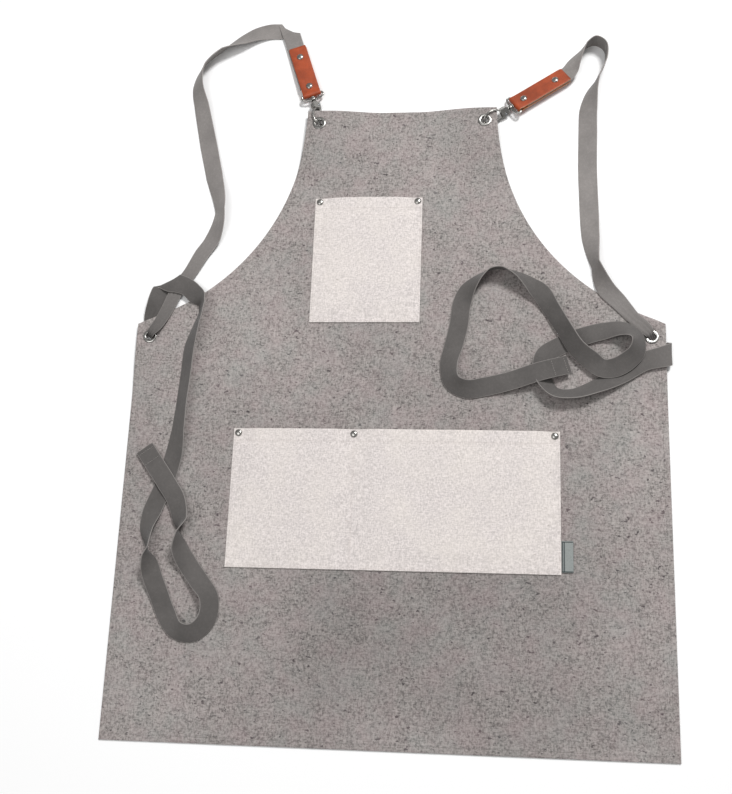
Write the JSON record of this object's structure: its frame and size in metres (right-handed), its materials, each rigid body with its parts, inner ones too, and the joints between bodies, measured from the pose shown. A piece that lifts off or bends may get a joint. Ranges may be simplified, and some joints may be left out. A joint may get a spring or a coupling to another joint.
{
  "type": "artist apron",
  "caption": "Bib apron in heavy canvas with riveted chest and waist pockets, webbing straps through waist eyelets, leather tabs and swivel snap hooks.",
  "frame": {"origin": "the middle of the panel, on its underside", "axes": "+X across the panel to the wearer's left as it lies face up, +Y towards the neck, +Z out of the panel's face"},
  "size_m": [0.7067, 1.0076, 0.0312],
  "materials": {
    "canvas": "marled heavy canvas",
    "pocket_canvas": "fine cotton canvas",
    "webbing": "flat woven webbing",
    "tag_cloth": "plain woven tape",
    "leather": "smooth saddle leather, paler raw edges",
    "nickel": "bright nickel plate",
    "spring_steel": "plain steel"
  },
  "bodies": {
    "apron": {"apron_panel": "canvas", "chest_pocket": "pocket_canvas", "waist_pocket": "pocket_canvas", "side_tag": "tag_cloth", "top_left_eyelet": "nickel", "top_left_washer": "nickel", "top_right_eyelet": "nickel", "top_right_washer": "nickel", "waist_left_eyelet": "nickel", "waist_left_washer": "nickel", "waist_right_eyelet": "nickel", "waist_right_washer": "nickel", "chest_left_rivet": "nickel", "chest_left_rivet_back": "nickel", "chest_right_rivet": "nickel", "chest_right_rivet_back": "nickel", "waist_pocket_left_rivet": "nickel", "waist_pocket_left_rivet_back": "nickel", "waist_pocket_middle_rivet": "nickel", "waist_pocket_middle_rivet_back": "nickel", "waist_pocket_right_rivet": "nickel", "waist_pocket_right_rivet_back": "nickel", "left_leather_tab": "leather", "left_tab_lower_rivet": "nickel", "left_tab_lower_rivet_back": "nickel", "left_tab_upper_rivet": "nickel", "left_tab_upper_rivet_back": "nickel", "left_strap": "webbing", "right_leather_tab": "leather", "right_tab_lower_rivet": "nickel", "right_tab_lower_rivet_back": "nickel", "right_tab_upper_rivet": "nickel", "right_tab_upper_rivet_back": "nickel", "right_strap": "webbing"},
    "left_loop": {"left_hook_loop": "nickel"},
    "left_hook": {"left_hook_body": "nickel", "left_gate_pin": "spring_steel", "left_gate_spring": "spring_steel"},
    "left_gate": {"left_hook_gate": "nickel"},
    "right_loop": {"right_hook_loop": "nickel"},
    "right_hook": {"right_hook_body": "nickel", "right_gate_pin": "spring_steel", "right_gate_spring": "spring_steel"},
    "right_gate": {"right_hook_gate": "nickel"}
  },
  "joints": [
    {"name": "left_loop_tilt", "type": "hinge", "parent": "apron", "child": "left_loop", "pos_m": [-0.12866, 0.45497, 0.0082], "axis": [0.9489, 0.3156, 0], "range_deg": [-1, 0.3]},
    {"name": "left_hook_swivel", "type": "hinge", "parent": "left_loop", "child": "left_hook", "pos_m": [-0.12468, 0.44302, 0.0082], "axis": [-0.3156, 0.9489, 0], "range_deg": [-2.5, 5]},
    {"name": "left_gate_pivot", "type": "hinge", "parent": "left_hook", "child": "left_gate", "pos_m": [-0.12018, 0.43756, 0.00565], "axis": [-0.671, -0.2232, -0.7071], "range_deg": [0, 14], "stiffness_Nm_per_rad": 0.004, "springref_deg": -34.38},
    {"name": "right_loop_tilt", "type": "hinge", "parent": "apron", "child": "right_loop", "pos_m": [0.15812, 0.4322, 0.0082], "axis": [0.5327, -0.8203, 0.2079], "range_deg": [-1, 0.3]},
    {"name": "right_hook_swivel", "type": "hinge", "parent": "right_loop", "child": "right_hook", "pos_m": [0.14756, 0.42534, 0.0082], "axis": [0.8387, 0.5446, 0], "range_deg": [-2.5, 5]},
    {"name": "right_gate_pivot", "type": "hinge", "parent": "right_hook", "child": "right_gate", "pos_m": [0.14341, 0.41961, 0.00565], "axis": [-0.3851, 0.593, -0.7071], "range_deg": [0, 14], "stiffness_Nm_per_rad": 0.004, "springref_deg": -34.38}
  ]
}
